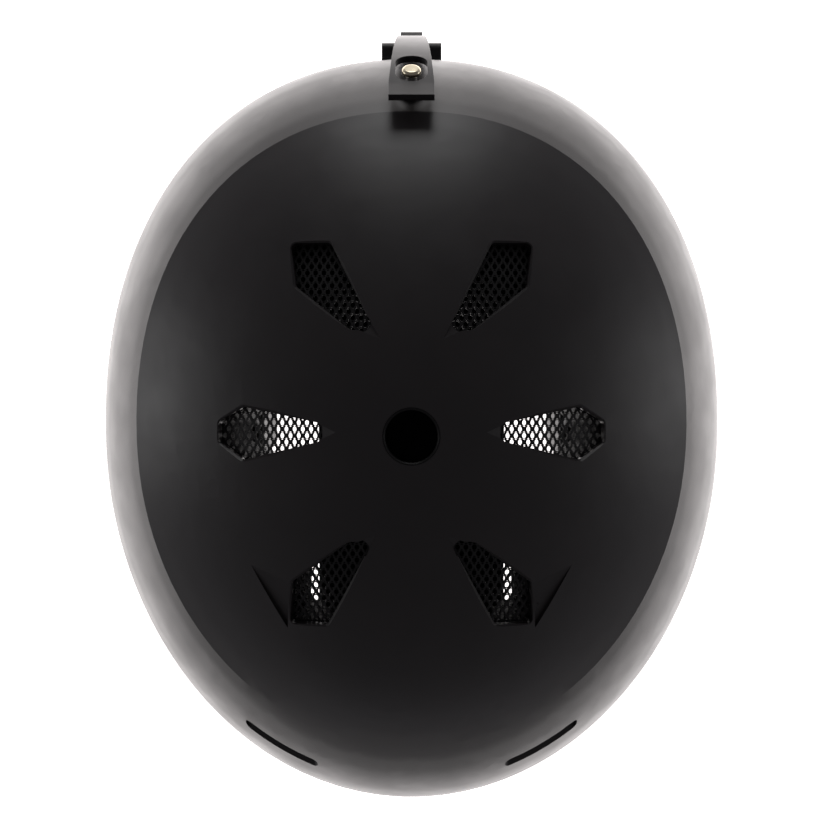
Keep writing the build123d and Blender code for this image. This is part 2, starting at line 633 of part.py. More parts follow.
lever_levels = [LEVER_TOP_Z - (LEVER_TOP_Z - 5) * s for s in (0, 0.25, 0.5, 0.75, 1)]
lever_inside = [rear_point(z, CLIP_GAP) for z in lever_levels]
lever_outside = [rear_point(z, CLIP_GAP + LEVER_THICKNESS) for z in lever_levels]
lever_run = hypot(lever_inside[0][0] - lever_inside[1][0], lever_inside[0][1] - lever_inside[1][1])
tip_y = LEVER_TIP * (lever_inside[0][0] - lever_inside[1][0]) / lever_run
tip_z = LEVER_TIP * (lever_inside[0][1] - lever_inside[1][1]) / lever_run
inside_tip = (lever_inside[0][0] + tip_y, lever_inside[0][1] + tip_z)
outside_tip = (lever_outside[0][0] + tip_y, lever_outside[0][1] + tip_z)
with BuildPart() as goggle_lever:
    with BuildSketch(Plane.YZ):
        with BuildLine():
            Spline(*lever_inside)
            Spline(*lever_outside)
            Polyline(lever_inside[0], inside_tip, outside_tip, lever_outside[0])
            Line(lever_inside[-1], lever_outside[-1])
        make_face()
        with BuildLine():
            Polyline(
                lever_inside[-1], lever_outside[-1], (CLIP_PIN_Y + KNUCKLE_RADIUS, CLIP_PIN_Z),
                (CLIP_PIN_Y, CLIP_PIN_Z), close=True,
            )
        make_face()
        with BuildLine():
            Polyline(
                (CLIP_PIN_Y, CLIP_PIN_Z), lever_outside[-1], (CLIP_PIN_Y + LEVER_TAIL, CLIP_PIN_Z + 1.2),
                (CLIP_PIN_Y + LEVER_TAIL, CLIP_PIN_Z - 1.4), close=True,
            )
        make_face()
        with Locations((CLIP_PIN_Y, CLIP_PIN_Z)):
            Circle(KNUCKLE_RADIUS)
            Circle(CLIP_PIN_DIAMETER / 2 + PIN_CLEARANCE, mode=Mode.SUBTRACT)
    extrude(amount=LEVER_TOP_WIDTH / 2 + 1, both=True)
    with BuildSketch(Plane.XZ):
        with BuildLine():
            half_top, half_end = LEVER_TOP_WIDTH / 2, LEVER_END_WIDTH / 2
            Polyline(
                (-half_top, LEVER_TOP_Z + 20), (half_top, LEVER_TOP_Z + 20), (half_top, LEVER_TOP_Z + 4),
                (half_end, CLIP_PIN_Z + 8), (half_end, CLIP_PIN_Z - 8), (-half_end, CLIP_PIN_Z - 8),
                (-half_end, CLIP_PIN_Z + 8), (-half_top, LEVER_TOP_Z + 4), close=True,
            )
        make_face()
    extrude(amount=-2 * REAR_REACH, mode=Mode.INTERSECT)
    with BuildSketch(stud_plane.offset(CLIP_GAP)):
        with Locations((0, (LEVER_HOLE_LENGTH - LEVER_HOLE_WIDTH) / 2)):
            SlotOverall(LEVER_HOLE_LENGTH, LEVER_HOLE_WIDTH, rotation=90)
    extrude(amount=LEVER_HOLE_WIDTH / 2, both=True, mode=Mode.SUBTRACT)
save("goggle_clip_lever", goggle_lever.part)

with BuildPart() as clip_pin:
    with BuildSketch(Plane.YZ.offset(-CLIP_BASE_WIDTH / 2)):
        with Locations((CLIP_PIN_Y, CLIP_PIN_Z)):
            Circle(CLIP_PIN_DIAMETER / 2)
    extrude(amount=CLIP_BASE_WIDTH)
save("goggle_clip_pin", clip_pin.part)

stud_height = CLIP_GAP + LEVER_THICKNESS + 0.6
with BuildPart() as snap_stud:
    with BuildSketch(stud_plane.offset(-2.0)):
        Circle(STUD_STEM_DIAMETER / 2 - PIN_CLEARANCE)
    extrude(amount=stud_height + 1.0)
    with BuildSketch(stud_plane.offset(0.6)):
        Circle(5.0)
    extrude(amount=1.2)
save("goggle_snap_stud", snap_stud.part)
with BuildPart() as snap_cap:
    with BuildSketch(stud_plane.offset(stud_height - 1.0 + PIN_CLEARANCE)):
        Circle(STUD_HEAD_DIAMETER / 2)
    extrude(amount=2.2)
    fillet(snap_cap.faces().sort_by(SortBy.AREA)[-1].edges().sort_by(Axis.Y)[-1:], radius=1.2)
save("goggle_snap_cap", snap_cap.part)

# Rear cradle below the liner, with the dial housing on its back
cradle_bottom_form = CRADLE_BOTTOM - 8
cradle_outside = liner_inside + CRADLE_GAP
with BuildPart() as cradle_bosses:
    with Locations(*[(side * CRADLE_WIDTH / 3, REAR_REACH - 30, CRADLE_TOP - 7) for side in (LEFT, RIGHT)]):
        Box(14, 60, 10)
    add(helmet_form(liner_inside + CLEARANCE, cradle_bottom_form), mode=Mode.INTERSECT)
    with BuildSketch(Plane.XZ.offset(-housing_front_y + 0.1)):
        with Locations((0, DIAL_Z)):
            Circle(9)
    extrude(amount=20)
with BuildPart() as fit_cradle:
    with Locations((0, REAR_REACH - 40, (CRADLE_TOP + CRADLE_BOTTOM) / 2)):
        Box(CRADLE_WIDTH, 90, CRADLE_TOP - CRADLE_BOTTOM)
    add(helmet_form(cradle_outside, cradle_bottom_form), mode=Mode.INTERSECT)
    add(cradle_bosses.part)
    add(helmet_form(cradle_outside + CRADLE_WALL, cradle_bottom_form), mode=Mode.SUBTRACT)
    with BuildSketch(Plane.XZ):
        with Locations((0, -34)):
            RectangleRounded(CRADLE_WIDTH - 40, 14, 5)
    extrude(amount=-2 * REAR_REACH, mode=Mode.SUBTRACT)
save("fit_cradle", fit_cradle.part)

with BuildPart() as cradle_pad:
    with Locations((0, REAR_REACH - 40, (CRADLE_TOP + CRADLE_BOTTOM) / 2 - 15)):
        Box(CRADLE_WIDTH - 16, 90, 28)
    add(helmet_form(cradle_outside + CLEARANCE + CRADLE_WALL, cradle_bottom_form), mode=Mode.INTERSECT)
    add(helmet_form(cradle_outside + CLEARANCE + CRADLE_WALL + 5, cradle_bottom_form), mode=Mode.SUBTRACT)
save("cradle_pad", cradle_pad.part)

tooth_pitch = 2 * pi * PINION_PITCH_RADIUS / PINION_TEETH
rack_root = PINION_PITCH_RADIUS + TOOTH_HEIGHT / 2 + 0.1
band_half = rack_root + BAND_BACK
housing_back = housing_front_y + HOUSING_DEPTH
band_y = housing_front_y + HOUSING_DEPTH / 2
dial_front = housing_back + CLEARANCE
with BuildPart() as dial_housing:
    with BuildSketch(Plane.XZ.offset(-housing_front_y)):
        with Locations((0, DIAL_Z)):
            Circle(HOUSING_DIAMETER / 2)
    extrude(amount=-HOUSING_DEPTH)
    with Locations((0, band_y, DIAL_Z)):
        Box(HOUSING_DIAMETER + 4, BAND_THICKNESS + 2 * 0.6, 2 * (band_half + 0.4), mode=Mode.SUBTRACT)
    with BuildSketch(Plane.XZ.offset(-band_y)):
        with Locations((0, DIAL_Z)):
            Circle(SHAFT_DIAMETER / 2 + PIN_CLEARANCE)
    extrude(amount=-HOUSING_DEPTH, mode=Mode.SUBTRACT)
save("dial_housing", dial_housing.part)

with BuildPart() as dial_knob:
    with BuildSketch(Plane.XZ.offset(-dial_front)):
        with Locations((0, DIAL_Z)):
            Circle(DIAL_DIAMETER / 2)
            with PolarLocations(DIAL_DIAMETER / 2 + 0.6, DIAL_FLUTES):
                Circle(1.5, mode=Mode.SUBTRACT)
    extrude(amount=-DIAL_THICKNESS)
    with BuildSketch(Plane.XZ.offset(-dial_front - DIAL_THICKNESS)):
        with Locations((0, DIAL_Z)):
            Circle(DIAL_DIAMETER / 2 - 5)
    extrude(amount=2.0, mode=Mode.SUBTRACT)
save("dial_knob", dial_knob.part)


def tooth(base_radius, height, down):
    """Corners of one tooth that points away from or towards the middle, on the line x = 0."""
    tip = base_radius + (-height if down else height)
    root = [(-TOOTH_ROOT / 2, base_radius), (TOOTH_ROOT / 2, base_radius)]
    return root + [(TOOTH_TIP / 2, tip), (-TOOTH_TIP / 2, tip)]


tooth_plane = Plane(origin=(0, band_y - BAND_THICKNESS / 2, DIAL_Z), x_dir=(1, 0, 0), z_dir=(0, -1, 0))
pinion_root = PINION_PITCH_RADIUS - TOOTH_HEIGHT / 2 - 0.1
with BuildPart() as dial_pinion:
    with BuildSketch(tooth_plane):
        Circle(pinion_root + 0.15)
        with PolarLocations(0, PINION_TEETH):
            with BuildLine():
                Polyline(*tooth(pinion_root, TOOTH_HEIGHT, False), close=True)
            make_face()
    extrude(amount=-BAND_THICKNESS)
    with BuildSketch(Plane.XZ.offset(-band_y)):
        with Locations((0, DIAL_Z)):
            Circle(SHAFT_DIAMETER / 2)
    extrude(amount=dial_front * -1 + band_y)
save("dial_pinion", dial_pinion.part)

for word, side in (("left", LEFT), ("right", RIGHT)):
    rack_sign = -side                      # the left band's rack runs below the pinion
    with BuildPart() as fit_band:
        with BuildSketch(Plane.XY.offset(DIAL_Z + rack_sign * (rack_root + BAND_BACK / 2))):
            with BuildLine():
                run = Line((-side * 16, band_y), (side * 36, band_y))
                TangentArc(run @ 1, (side * 80, band_y - 36), tangent=(side, 0))
            trace(line_width=BAND_THICKNESS)
        extrude(amount=BAND_BACK / 2, both=True)
        with BuildSketch(tooth_plane):
            for k in range(-5, 7):
                corners = tooth(rack_root + 0.05, TOOTH_HEIGHT + 0.05, True)
                with BuildLine():
                    Polyline(*[(x + (k - 0.5) * tooth_pitch, rack_sign * z) for x, z in corners], close=True)
                make_face()
        extrude(amount=-BAND_THICKNESS)
    save(f"fit_band_{word}", fit_band.part)
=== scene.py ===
# %% [markdown]
# # A ski helmet
# A hard moulded shell sits over a foam liner. Air goes in through brow slots and six meshed vents, and
# out through a round crown vent. Soft pads line the inside, webbing and a buckle hold it on, a dial
# closes a cradle at the nape, and a hinged clip at the rear holds the goggle strap.
# The CAD model gives every place and size, so we load it first and keep its box.

# %% Load the frame
import json
from math import cos, pi, radians, sin

import bmesh
import bpy
from mathutils import Matrix, Vector
from mathutils.bvhtree import BVHTree


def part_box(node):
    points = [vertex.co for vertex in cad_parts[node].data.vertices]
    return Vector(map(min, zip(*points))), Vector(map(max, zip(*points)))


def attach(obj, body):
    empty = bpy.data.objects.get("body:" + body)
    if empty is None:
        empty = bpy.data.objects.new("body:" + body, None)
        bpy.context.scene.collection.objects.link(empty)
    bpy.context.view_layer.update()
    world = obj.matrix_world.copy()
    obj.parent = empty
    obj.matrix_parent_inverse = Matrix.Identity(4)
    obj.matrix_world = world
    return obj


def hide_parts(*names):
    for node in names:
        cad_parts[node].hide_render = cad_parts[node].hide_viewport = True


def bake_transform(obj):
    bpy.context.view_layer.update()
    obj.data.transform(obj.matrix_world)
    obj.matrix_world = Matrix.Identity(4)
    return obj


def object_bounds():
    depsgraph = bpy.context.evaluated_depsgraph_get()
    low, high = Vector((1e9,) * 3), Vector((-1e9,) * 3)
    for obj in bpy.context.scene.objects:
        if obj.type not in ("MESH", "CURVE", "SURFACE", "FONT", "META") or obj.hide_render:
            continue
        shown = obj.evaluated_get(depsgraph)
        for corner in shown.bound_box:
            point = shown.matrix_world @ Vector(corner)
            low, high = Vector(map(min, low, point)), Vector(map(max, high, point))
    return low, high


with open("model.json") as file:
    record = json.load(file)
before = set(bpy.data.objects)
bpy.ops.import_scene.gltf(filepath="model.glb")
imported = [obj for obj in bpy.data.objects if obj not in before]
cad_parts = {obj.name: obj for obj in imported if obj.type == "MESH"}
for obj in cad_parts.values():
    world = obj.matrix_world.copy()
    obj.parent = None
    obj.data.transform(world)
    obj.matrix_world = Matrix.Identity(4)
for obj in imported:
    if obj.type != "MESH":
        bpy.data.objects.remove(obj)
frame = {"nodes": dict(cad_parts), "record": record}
cad_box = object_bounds()
nodes = frame["nodes"]
MM = 0.001
LEFT, RIGHT = 1, -1

# %% [markdown]
# ## Camera, light and floor
# The helmet is seen from straight above with its rear at the top of the view. A long lens about
# 1.2 m above the widest level keeps the sides steep and narrow, as they look from far away.

# %% Camera
widest_level = 10 * MM
camera_height = 1.2
frame_width = 0.3087
camera_data = bpy.data.cameras.new("camera")
camera_data.sensor_width = 36.0
camera_data.lens = camera_data.sensor_width * camera_height / frame_width
camera = bpy.data.objects.new("camera", camera_data)
camera.location = (0.55 * MM, 8.05 * MM, widest_level + camera_height)
bpy.context.scene.collection.objects.link(camera)
bpy.context.scene.camera = camera
bpy.context.scene.view_settings.view_transform = "Standard"

# %% [markdown]
# A black satin shell shows what it reflects. Facets that face up mirror a dark ceiling, and the steep
# band below the crease mirrors the bright floor. So the floor is white and well lit, the sky is dark
# overhead and bright near the horizon, and wide soft lamps stand low at the sides and rear.


# %% Helpers for colours and nodes
def colour(hex_code, alpha=1.0):
    """sRGB hex to the linear colour that the shader wants."""
    channels = [int(hex_code[i:i + 2], 16) / 255 for i in (1, 3, 5)]
    linear = [c / 12.92 if c <= 0.04045 else ((c + 0.055) / 1.055) ** 2.4 for c in channels]
    return (*linear, alpha)


def add_node(tree, kind, settings=None, inputs=None):
    """Adds one node; an input may be a value or another node's output to link."""
    node = tree.nodes.new(kind)
    for name, value in (settings or {}).items():
        setattr(node, name, value)
    for name, value in (inputs or {}).items():
        if isinstance(value, bpy.types.NodeSocket):
            tree.links.new(value, node.inputs[name])
        else:
            node.inputs[name].default_value = value
    return node


# %% World
world = bpy.data.worlds.new("studio")
bpy.context.scene.world = world
world.use_nodes = True
sky = world.node_tree
sky.nodes.clear()
direction = add_node(sky, "ShaderNodeTexCoord")
height = add_node(sky, "ShaderNodeSeparateXYZ", inputs={"Vector": direction.outputs["Generated"]})
ramp = add_node(sky, "ShaderNodeValToRGB", inputs={"Fac": height.outputs["Z"]})
ramp.color_ramp.elements[0].color = (0.42, 0.41, 0.44, 1)
ramp.color_ramp.elements[1].position = 0.2
ramp.color_ramp.elements[1].color = (0.1, 0.095, 0.1, 1)
backdrop = add_node(sky, "ShaderNodeBackground", inputs={"Color": ramp.outputs["Color"], "Strength": 1.0})
add_node(sky, "ShaderNodeOutputWorld", inputs={"Surface": backdrop.outputs["Background"]})


# %% Lamps and floor
def soft_lamp(name, place, size, watts):
    """A square soft lamp that looks at the helmet."""
    data = bpy.data.lights.new(name, "AREA")
    data.size = size
    data.energy = watts
    lamp = bpy.data.objects.new(name, data)
    lamp.location = place
    lamp.rotation_euler = (Vector(place) - Vector((0, 0, 0.03))).to_track_quat("Z", "Y").to_euler()
    bpy.context.scene.collection.objects.link(lamp)


soft_lamp("lamp_left", (-1.7, 0.15, 0.1), 0.6, 2.2)
soft_lamp("lamp_right", (1.7, 0.15, 0.1), 0.6, 1.6)
soft_lamp("lamp_rear", (0.0, 1.7, 0.16), 0.7, 4)

floor_gap = 12 * MM
floor_mesh = bmesh.new()
bmesh.ops.create_grid(floor_mesh, x_segments=1, y_segments=1, size=4.0)
bmesh.ops.translate(floor_mesh, verts=floor_mesh.verts, vec=(0, 0, cad_box[0][2] - floor_gap))
floor_data = bpy.data.meshes.new("floor")
floor_mesh.to_mesh(floor_data)
floor_mesh.free()
floor = bpy.data.objects.new("floor", floor_data)
bpy.context.scene.collection.objects.link(floor)

# %% [markdown]
# ## Finishes
# Every finish is named for its real material and the way it was made. Each one gets a pattern whose
# scale comes from real millimetres, and a small bump, because no moulded or woven surface is flat.


# %% One way to start a finish
def finish(name, base, roughness, metallic=0.0):
    """A material with its principled shader, output and object coordinates."""
    material = bpy.data.materials.new(name)
    material.use_nodes = True
    tree = material.node_tree
    tree.nodes.clear()
    shader = add_node(
        tree, "ShaderNodeBsdfPrincipled",
        inputs={"Base Color": colour(base), "Roughness": roughness, "Metallic": metallic},
    )
    add_node(tree, "ShaderNodeOutputMaterial", inputs={"Surface": shader.outputs["BSDF"]})
    place = add_node(tree, "ShaderNodeTexCoord").outputs["Object"]
    return material, tree, shader, place


def add_bump(tree, shader, pattern, strength, distance):
    """Raises a pattern on the surface by a real distance in metres."""
    bump = add_node(
        tree, "ShaderNodeBump", inputs={"Height": pattern, "Strength": strength, "Distance": distance}
    )
    tree.links.new(bump.outputs["Normal"], shader.inputs["Normal"])


def vary(tree, shader, place, socket, low, high, feature):
    """Lets a colour or roughness drift between two values over features of a given size in metres."""
    noise = add_node(
        tree, "ShaderNodeTexNoise", inputs={"Vector": place, "Scale": 1 / feature, "Detail": 4.0}
    )
    spread = add_node(tree, "ShaderNodeValToRGB", inputs={"Fac": noise.outputs["Fac"]})
    spread.color_ramp.elements[0].position = 0.35
    spread.color_ramp.elements[1].position = 0.65
    spread.color_ramp.elements[0].color = low
    spread.color_ramp.elements[1].color = high
    tree.links.new(spread.outputs["Color"], shader.inputs[socket])


def grey(value):
    return (value, value, value, 1)


# %% Moulded plastics
def moulded(name, dark, light, roughness, grain, depth, spread=0.04):
    """Moulded plastic: a fine spark-eroded grain from the mould and an uneven satin."""
    material, tree, shader, place = finish(name, dark, roughness)
    vary(tree, shader, place, "Base Color", colour(dark), colour(light), 30 * MM)
    vary(tree, shader, place, "Roughness", grey(roughness - spread), grey(roughness + spread), 18 * MM)
    speck = add_node(tree, "ShaderNodeTexNoise", inputs={"Vector": place, "Scale": 1 / grain, "Detail": 2.0})
    add_bump(tree, shader, speck.outputs["Fac"], 0.35, depth)
    return material


# The shell is satin ABS. Its mould grain is about 0.4 mm wide and drawn at 0.9 mm so that it shows.
shell_abs = moulded("satin_abs_moulded", "#1f1c1d", "#252122", 0.42, 0.9 * MM, 0.05 * MM)
shell_abs.node_tree.nodes["Principled BSDF"].inputs["Coat Weight"].default_value = 0.5
shell_abs.node_tree.nodes["Principled BSDF"].inputs["Coat Roughness"].default_value = 0.38
edge_rubber = moulded("edge_rubber_extruded", "#111112", "#18181a", 0.62, 0.7 * MM, 0.06 * MM)
mesh_nylon = moulded("mesh_nylon_moulded", "#0c0c0d", "#131314", 0.5, 0.6 * MM, 0.03 * MM)
hard_nylon = moulded("nylon_moulded", "#121213", "#1b1b1c", 0.46, 0.7 * MM, 0.05 * MM)
clip_abs = moulded("clip_abs_moulded", "#1b191b", "#232124", 0.3, 0.8 * MM, 0.03 * MM)
dial_abs = moulded("dial_abs_moulded", "#1d1d20", "#28282b", 0.48, 0.7 * MM, 0.05 * MM)

# %% Expanded foam: beads about 3 mm wide, fused in the mould
foam_eps, foam_tree, foam_shader, foam_place = finish("polystyrene_bead_foam", "#161617", 0.7)
vary(foam_tree, foam_shader, foam_place, "Base Color", colour("#121213"), colour("#1c1c1e"), 6 * MM)
beads = add_node(foam_tree, "ShaderNodeTexVoronoi", inputs={"Vector": foam_place, "Scale": 1 / (3.2 * MM)})
add_bump(foam_tree, foam_shader, beads.outputs["Distance"], 0.6, 0.35 * MM)


# %% Woven and knitted cloth
def woven(name, dark, light, pitch, relief, roughness=0.85):
    """Cloth whose threads cross at right angles, spaced a pitch apart in metres."""
    material, tree, shader, place = finish(name, dark, roughness)
    shader.inputs["Sheen Weight"].default_value = 0.35
    shader.inputs["Sheen Roughness"].default_value = 0.5
    shader.inputs["Specular IOR Level"].default_value = 0.25
    vary(tree, shader, place, "Base Color", colour(dark), colour(light), 5 * MM)
    waves = [
        add_node(
            tree, "ShaderNodeTexWave", {"bands_direction": axis},
            {"Vector": place, "Scale": pi / (10 * pitch), "Distortion": 1.2, "Detail Scale": 2.0},
        ).outputs["Fac"]
        for axis in ("DIAGONAL", "Y", "Z")
    ]
    cross = add_node(tree, "ShaderNodeMath", {"operation": "MAXIMUM"}, {0: waves[0], 1: waves[1]})
    weave = add_node(tree, "ShaderNodeMath", {"operation": "ADD"}, {0: cross.outputs[0], 1: waves[2]})
    add_bump(tree, shader, weave.outputs[0], 0.5, relief)
    return material


pad_knit = woven("brushed_knit_over_foam", "#131315", "#1d1d20", 1.2 * MM, 0.15 * MM)
strap_polyester = woven("polyester_webbing_woven", "#121214", "#1e1e21", 1.1 * MM, 0.2 * MM, 0.75)


# %% Metals
def turned_metal(name, base, roughness):
    """Turned or pressed metal, unevenly rough, with the faint scuffs of handling."""
    material, tree, shader, place = finish(name, base, roughness, 1.0)
    vary(tree, shader, place, "Roughness", grey(roughness - 0.08), grey(roughness + 0.08), 3 * MM)
    scuffs = add_node(tree, "ShaderNodeTexNoise", inputs={"Vector": place, "Scale": 1 / (0.8 * MM)})
    add_bump(tree, shader, scuffs.outputs["Fac"], 0.15, 0.02 * MM)
    return material


plain_steel = turned_metal("steel_turned", "#9c9a97", 0.32)
cap_brass = turned_metal("nickel_brass_pressed", "#e9dfc4", 0.22)

# The paper glows evenly to the eye. To the shell it fades away from the rear, which keeps the brow dark.
floor_paper, paper_tree, paper_shader, paper_place = finish("white_paper", "#ffffff", 0.9)
paper_shader.inputs["Emission Color"].default_value = (1, 0.955, 0.945, 1)
PAPER_GLOW = 1.6
SHELL_GLOW_NEAR = 2.4
SHELL_GLOW_FAR = 0.2
GLOW_MIDDLE = (0, 0.1, 0)
FADE_START = 0.2
FADE_END = 0.8
glow_from = add_node(paper_tree, "ShaderNodeVectorMath", {"operation": "DISTANCE"}, {0: paper_place})
glow_from.inputs[1].default_value = GLOW_MIDDLE
glow_fade = add_node(
    paper_tree, "ShaderNodeMapRange", {"interpolation_type": "SMOOTHSTEP"},
    {
        "Value": glow_from.outputs["Value"], "From Min": FADE_START, "From Max": FADE_END,
        "To Min": SHELL_GLOW_NEAR, "To Max": SHELL_GLOW_FAR,
    },
)
eye = add_node(paper_tree, "ShaderNodeLightPath")
glow = add_node(paper_tree, "ShaderNodeMix", {"data_type": "FLOAT"}, {"Factor": eye.outputs["Is Camera Ray"]})
paper_tree.links.new(glow_fade.outputs["Result"], glow.inputs[2])
glow.inputs[3].default_value = PAPER_GLOW
paper_tree.links.new(glow.outputs[0], paper_shader.inputs["Emission Strength"])
vary(paper_tree, paper_shader, paper_place, "Roughness", grey(0.86), grey(0.94), 0.4)
floor.data.materials.append(floor_paper)

# %% Every CAD node gets the finish of its material slot
SLOT_FINISH = {
    "shell_abs": shell_abs, "trim_rubber": edge_rubber, "liner_foam": foam_eps,
    "mesh_plastic": mesh_nylon, "pad_fabric": pad_knit, "moulded_nylon": hard_nylon,
    "webbing": strap_polyester, "clip_plastic": clip_abs, "knob_plastic": dial_abs,
    "fastener_steel": plain_steel, "stud_cap": cap_brass,
}
node_slot = {s["node"]: s["material_slot"] for s in frame["record"]["subparts"]}
node_body = {n: b for b, members in frame["record"]["behaviour"]["bodies"].items() for n in members}
for name, node in nodes.items():
    node.data.materials.clear()
    node.data.materials.append(SLOT_FINISH[node_slot[name]])

# %% [markdown]
# ## Smooth copies of moulded parts
# A CAD mesh is loose triangles, flat from face to face. A moulded part is smooth between its edges, so
# we merge a copy, mark only the real edges sharp, and let face areas weigh the normals.


# %% Merge, mark edges, replace
def merged(name):
    """The CAD node as one joined bmesh."""
    joined = bmesh.new()
    joined.from_mesh(nodes[name].data)
    bmesh.ops.remove_doubles(joined, verts=joined.verts, dist=0.002 * MM)
    return joined


def new_piece(name, shape, material, stands_for=(), body="helmet"):
    """Turns a bmesh into a piece that rides on a body and may stand for CAD nodes."""
    data = bpy.data.meshes.new(name)
    shape.to_mesh(data)
    shape.free()
    data.materials.append(material)
    piece = bpy.data.objects.new(name, data)
    bpy.context.scene.collection.objects.link(piece)
    if body:
        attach(piece, body)
    if stands_for:
        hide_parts(*stands_for)
    return piece


def smooth_part(name, edge_angle=20.0, round_by=0.0):
    """A smooth-shaded copy of a moulded CAD node, with its edges eased by round_by metres."""
    shape = merged(name)
    if round_by:
        bmesh.ops.dissolve_limit(shape, angle_limit=radians(0.6), verts=shape.verts, edges=shape.edges)
    for face in shape.faces:
        face.smooth = True
    for edge in shape.edges:
        edge.smooth = edge.calc_face_angle(0.0) < radians(edge_angle)
    piece = new_piece(
        "smooth_" + name, shape, SLOT_FINISH[node_slot[name]], [name], node_body[name]
    )
    if round_by:
        ease = piece.modifiers.new("ease_edges", "BEVEL")
        ease.width = round_by
        ease.segments = 2
        ease.limit_method = "ANGLE"
        ease.angle_limit = radians(35)
        ease.use_clamp_overlap = True
    weigh = piece.modifiers.new("weigh_normals", "WEIGHTED_NORMAL")
    weigh.keep_sharp = not round_by
    weigh.mode = "FACE_AREA"
    return piece


CREASE_ANGLE = 7.5
smooth_part("outer_shell", CREASE_ANGLE)
smooth_part("rim_trim", 25)
smooth_part("eps_liner", 30)
for part in ("goggle_clip_lever", "goggle_clip_base", "buckle_female", "buckle_male", "goggle_snap_cap"):
    smooth_part(part, 30, 0.35 * MM)
for part in ("strap_slider_left", "strap_slider_right", "dial_housing", "dial_knob"):
    smooth_part(part, 30, 0.4 * MM)
for part in ("fit_cradle", "fit_band_left", "fit_band_right", "crown_vent_collar", "buckle_prong_front",
             "buckle_prong_rear", "ear_pad_carrier_left", "ear_pad_carrier_right"):
    smooth_part(part, 30)

# %% [markdown]
# ## Vent meshes
# Behind each vent lies a thin moulded mesh with rows of oval holes, every second row shifted by half a
# hole. An image of holes would let no light through, so the holes are real: one tile is a ring of
# faces between an oval and its brick-shaped cell, and the tile is laid over the CAD plate row by row.

# %% The tile and the mesh
HOLE_WIDTH = 1.65 * MM
HOLE_LENGTH = 2.0 * MM
ROW_PITCH = 2.25 * MM
COLUMN_PITCH = 2.9 * MM
MESH_THICKNESS = 0.9 * MM
RING_POINTS = 12


def lay_tile(shape, middle, turn):
    """One oval hole in its cell, made by bridging the oval to the cell's outline."""
    hole, cell = [], []
    for i in range(RING_POINTS):
        angle = 2 * pi * i / RING_POINTS
        c, s = cos(angle), sin(angle)
        reach = 1 / max(abs(c), abs(s))
        hole.append(Vector((c * HOLE_WIDTH / 2, s * HOLE_LENGTH / 2, 0)))
        cell.append(Vector((c * reach * COLUMN_PITCH / 2, s * reach * ROW_PITCH / 2, 0)))
    rings = [[shape.verts.new(middle + turn @ p) for p in ring] for ring in (hole, cell)]
    edges = [shape.edges.new((ring[i - 1], ring[i])) for ring in rings for i in range(RING_POINTS)]
    bmesh.ops.bridge_loops(shape, edges=edges)


def plate_surface(name):
    """The CAD plate as a tree that rays can hit."""
    return BVHTree.FromPolygons(
        [v.co[:] for v in nodes[name].data.vertices], [p.vertices[:] for p in nodes[name].data.polygons]
    )


def vent_mesh(name, side):
    """Tiles over one side of a CAD plate, dropped onto its top and given a thickness."""
    low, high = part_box(name)
    surface = plate_surface(name)
    shape = bmesh.new()
    rows = int((high.y - low.y) / (ROW_PITCH)) + 2
    columns = int(high.x / COLUMN_PITCH) + 2
    flat = Matrix.Identity(3)
    down = Vector((0, 0, -1))
    for row in range(rows):
        for column in range(columns):
            x = side * (column + 0.5 * (row % 2)) * COLUMN_PITCH
            y = low.y + row * ROW_PITCH
            if surface.ray_cast(Vector((x, y, 0.2)), down)[0]:
                lay_tile(shape, Vector((x, y, 0)), flat)
    bmesh.ops.remove_doubles(shape, verts=shape.verts, dist=0.05 * MM)
    for vert in shape.verts:
        hit = surface.ray_cast(Vector((vert.co.x, vert.co.y, 0.2)), down)[0]
        vert.co.z = hit.z if hit else 0
    for vert in [v for v in shape.verts if v.co.z == 0]:
        beside = [e.other_vert(vert).co.z for e in vert.link_edges if e.other_vert(vert).co.z > 0]
        level = sum(beside) / len(beside) if beside else high.z - 6 * MM
        vert.co.z = surface.find_nearest(Vector((vert.co.x, vert.co.y, level)))[0].z
    bmesh.ops.recalc_face_normals(shape, faces=shape.faces)
    bmesh.ops.solidify(shape, geom=shape.faces[:] + shape.edges[:] + shape.verts[:], thickness=MESH_THICKNESS)
    bmesh.ops.recalc_face_normals(shape, faces=shape.faces)
    rise = max(v.co.z for v in shape.verts) - high.z
    bmesh.ops.translate(shape, verts=shape.verts, vec=(0, 0, -max(rise, 0) - 0.1 * MM))
    return shape


for vent in ("front_vent_meshes", "mid_vent_meshes", "rear_vent_meshes"):
    both = bmesh.new()
    for side in (LEFT, RIGHT):
        one = vent_mesh(vent, side)
        data = bpy.data.meshes.new("tiles")
        one.to_mesh(data)
        one.free()
        both.from_mesh(data)
        bpy.data.meshes.remove(data)
    print(vent, len(both.faces), "faces")
    new_piece("open_" + vent, both, mesh_nylon, [vent])

# %% [markdown]
# ## Padding
# Each pad is foam in a knitted cover, sewn round its edge, so it is fullest in the middle. We remesh
# the CAD solid, shrink it a little, and let the cloth solver blow it up with a small inner pressure.
# No point may move further than a few millimetres, so the pad stays in its own space.

# %% Inflate the pads
PADS = [name for name, slot_name in node_slot.items() if slot_name == "pad_fabric"]
SHRINK = 0.9 * MM
SWELL_LIMIT = 1.1 * MM
SWELL_FRAMES = 10


